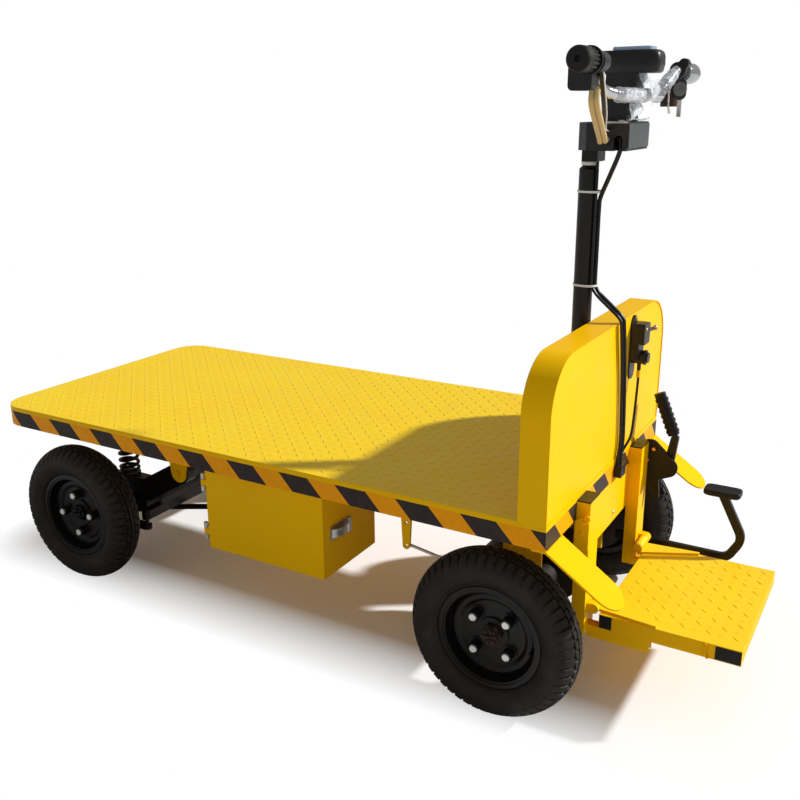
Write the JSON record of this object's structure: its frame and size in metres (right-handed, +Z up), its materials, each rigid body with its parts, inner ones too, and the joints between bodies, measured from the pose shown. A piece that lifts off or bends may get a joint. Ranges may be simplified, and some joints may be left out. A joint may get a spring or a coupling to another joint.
{
  "type": "stand-on electric platform cart",
  "caption": "Flat-bed electric cart with a rear standing step, headboard, tall steering column with handlebar, sprung steer axle, driven rear axle and under-deck battery box.",
  "frame": {"origin": "on the ground under the middle of the whole cart", "axes": "+X forward, away from the driver's step; +Y to the driver's left; +Z up"},
  "size_m": [1.967, 0.804, 1.356],
  "materials": {
    "yellow_paint": "gloss enamel",
    "deck_plate_paint": "gloss enamel on chequer plate",
    "black_paint": "satin black enamel",
    "tyre_rubber": "moulded tyre rubber",
    "black_rubber": "moulded rubber",
    "black_plastic": "textured black plastic",
    "grey_lens": "grey translucent cover",
    "display_glass": "tinted cover glass",
    "bright_steel": "zinc-plated steel",
    "chrome": "bright plating",
    "axle_iron": "painted casting",
    "battery_case": "moulded battery case",
    "wire_cover": "cable sheath"
  },
  "bodies": {
    "chassis": {"arm_brackets": "yellow_paint", "axle_hangers": "yellow_paint", "battery_box": "yellow_paint", "battery_pack": "battery_case", "box_clasp": "bright_steel", "box_hinges": "bright_steel", "brake_relay": "yellow_paint", "brake_rod": "bright_steel", "column_bearing": "black_paint", "cross_members": "yellow_paint", "deck_plate": "deck_plate_paint", "front_rail": "yellow_paint", "front_springs": "black_paint", "handbrake_grip": "black_rubber", "handbrake_lever": "black_paint", "handbrake_quadrant": "black_paint", "headboard": "yellow_paint", "headboard_cables": "wire_cover", "headboard_panel": "yellow_paint", "motor": "axle_iron", "mudguards": "yellow_paint", "pedal_arm": "black_paint", "pedal_bracket": "black_paint", "pedal_pad": "black_rubber", "post_caps": "black_plastic", "rear_axle": "axle_iron", "rear_panel": "yellow_paint", "rear_posts": "yellow_paint", "rear_rail": "yellow_paint", "side_rails": "yellow_paint", "steer_axle": "black_paint", "step_hinges": "yellow_paint", "step_rest": "yellow_paint", "swing_arms": "black_paint", "switch_unit": "black_plastic"},
    "steering": {"column": "black_paint", "control_box": "black_plastic", "control_lens": "grey_lens", "bar_riser": "black_plastic", "handlebar": "chrome", "grips": "black_rubber", "display_pod": "black_plastic", "display_glass": "display_glass", "bar_controls": "black_plastic", "steering_cables": "wire_cover"},
    "step": {"step": "deck_plate_paint"},
    "door": {"box_door": "yellow_paint"},
    "knuckle_left": {"knuckle_left": "black_paint"},
    "knuckle_right": {"knuckle_right": "black_paint"},
    "tie_rod": {"tie_rod": "black_paint"},
    "drag_link": {"drag_link": "black_paint"},
    "wheel_rear_left": {"tyre_rear_left": "tyre_rubber", "rim_rear_left": "black_paint"},
    "wheel_rear_right": {"tyre_rear_right": "tyre_rubber", "rim_rear_right": "black_paint"},
    "wheel_front_left": {"tyre_front_left": "tyre_rubber", "rim_front_left": "black_paint"},
    "wheel_front_right": {"tyre_front_right": "tyre_rubber", "rim_front_right": "black_paint"}
  },
  "joints": [
    {"name": "steering", "type": "hinge", "parent": "chassis", "child": "steering", "pos_m": [-0.5465, 0, 0.7], "axis": [0, 0, 1], "range_deg": [-28, 28]},
    {"name": "knuckle_left_turn", "type": "hinge", "parent": "chassis", "child": "knuckle_left", "pos_m": [0.726, 0.25, 0.19], "axis": [0, 0, 1], "range_deg": [-28, 28]},
    {"name": "knuckle_right_turn", "type": "hinge", "parent": "chassis", "child": "knuckle_right", "pos_m": [0.726, -0.25, 0.19], "axis": [0, 0, 1], "range_deg": [-28, 28]},
    {"name": "tie_rod_pivot", "type": "hinge", "parent": "knuckle_left", "child": "tie_rod", "pos_m": [0.596, 0.25, 0.16], "axis": [0, 0, 1], "range_deg": [-28, 28]},
    {"name": "drag_link_pivot", "type": "hinge", "parent": "steering", "child": "drag_link", "pos_m": [-0.5465, -0.13, 0.296], "axis": [0, 0, 1], "range_deg": [-28, 28]},
    {"name": "step_fold", "type": "hinge", "parent": "chassis", "child": "step", "pos_m": [-0.6765, 0, 0.212], "axis": [0, 1, 0], "range_deg": [0, 88]},
    {"name": "door_swing", "type": "hinge", "parent": "chassis", "child": "door", "pos_m": [0.2645, 0.3685, 0.31], "axis": [0, 0, -1], "range_deg": [0, 110]},
    {"name": "wheel_rear_left_spin", "type": "hinge", "parent": "chassis", "child": "wheel_rear_left", "pos_m": [-0.5145, 0.356, 0.19], "axis": [0, 1, 0], "continuous": true},
    {"name": "wheel_rear_right_spin", "type": "hinge", "parent": "chassis", "child": "wheel_rear_right", "pos_m": [-0.5145, -0.356, 0.19], "axis": [0, 1, 0], "continuous": true},
    {"name": "wheel_front_left_spin", "type": "hinge", "parent": "knuckle_left", "child": "wheel_front_left", "pos_m": [0.726, 0.356, 0.19], "axis": [0, 1, 0], "continuous": true},
    {"name": "wheel_front_right_spin", "type": "hinge", "parent": "knuckle_right", "child": "wheel_front_right", "pos_m": [0.726, -0.356, 0.19], "axis": [0, 1, 0], "continuous": true}
  ],
  "couplings": [
    {"joint": "knuckle_left_turn", "follows": "steering", "ratio": 1},
    {"joint": "knuckle_right_turn", "follows": "steering", "ratio": 1},
    {"joint": "tie_rod_pivot", "follows": "steering", "ratio": -1},
    {"joint": "drag_link_pivot", "follows": "steering", "ratio": -1}
  ]
}
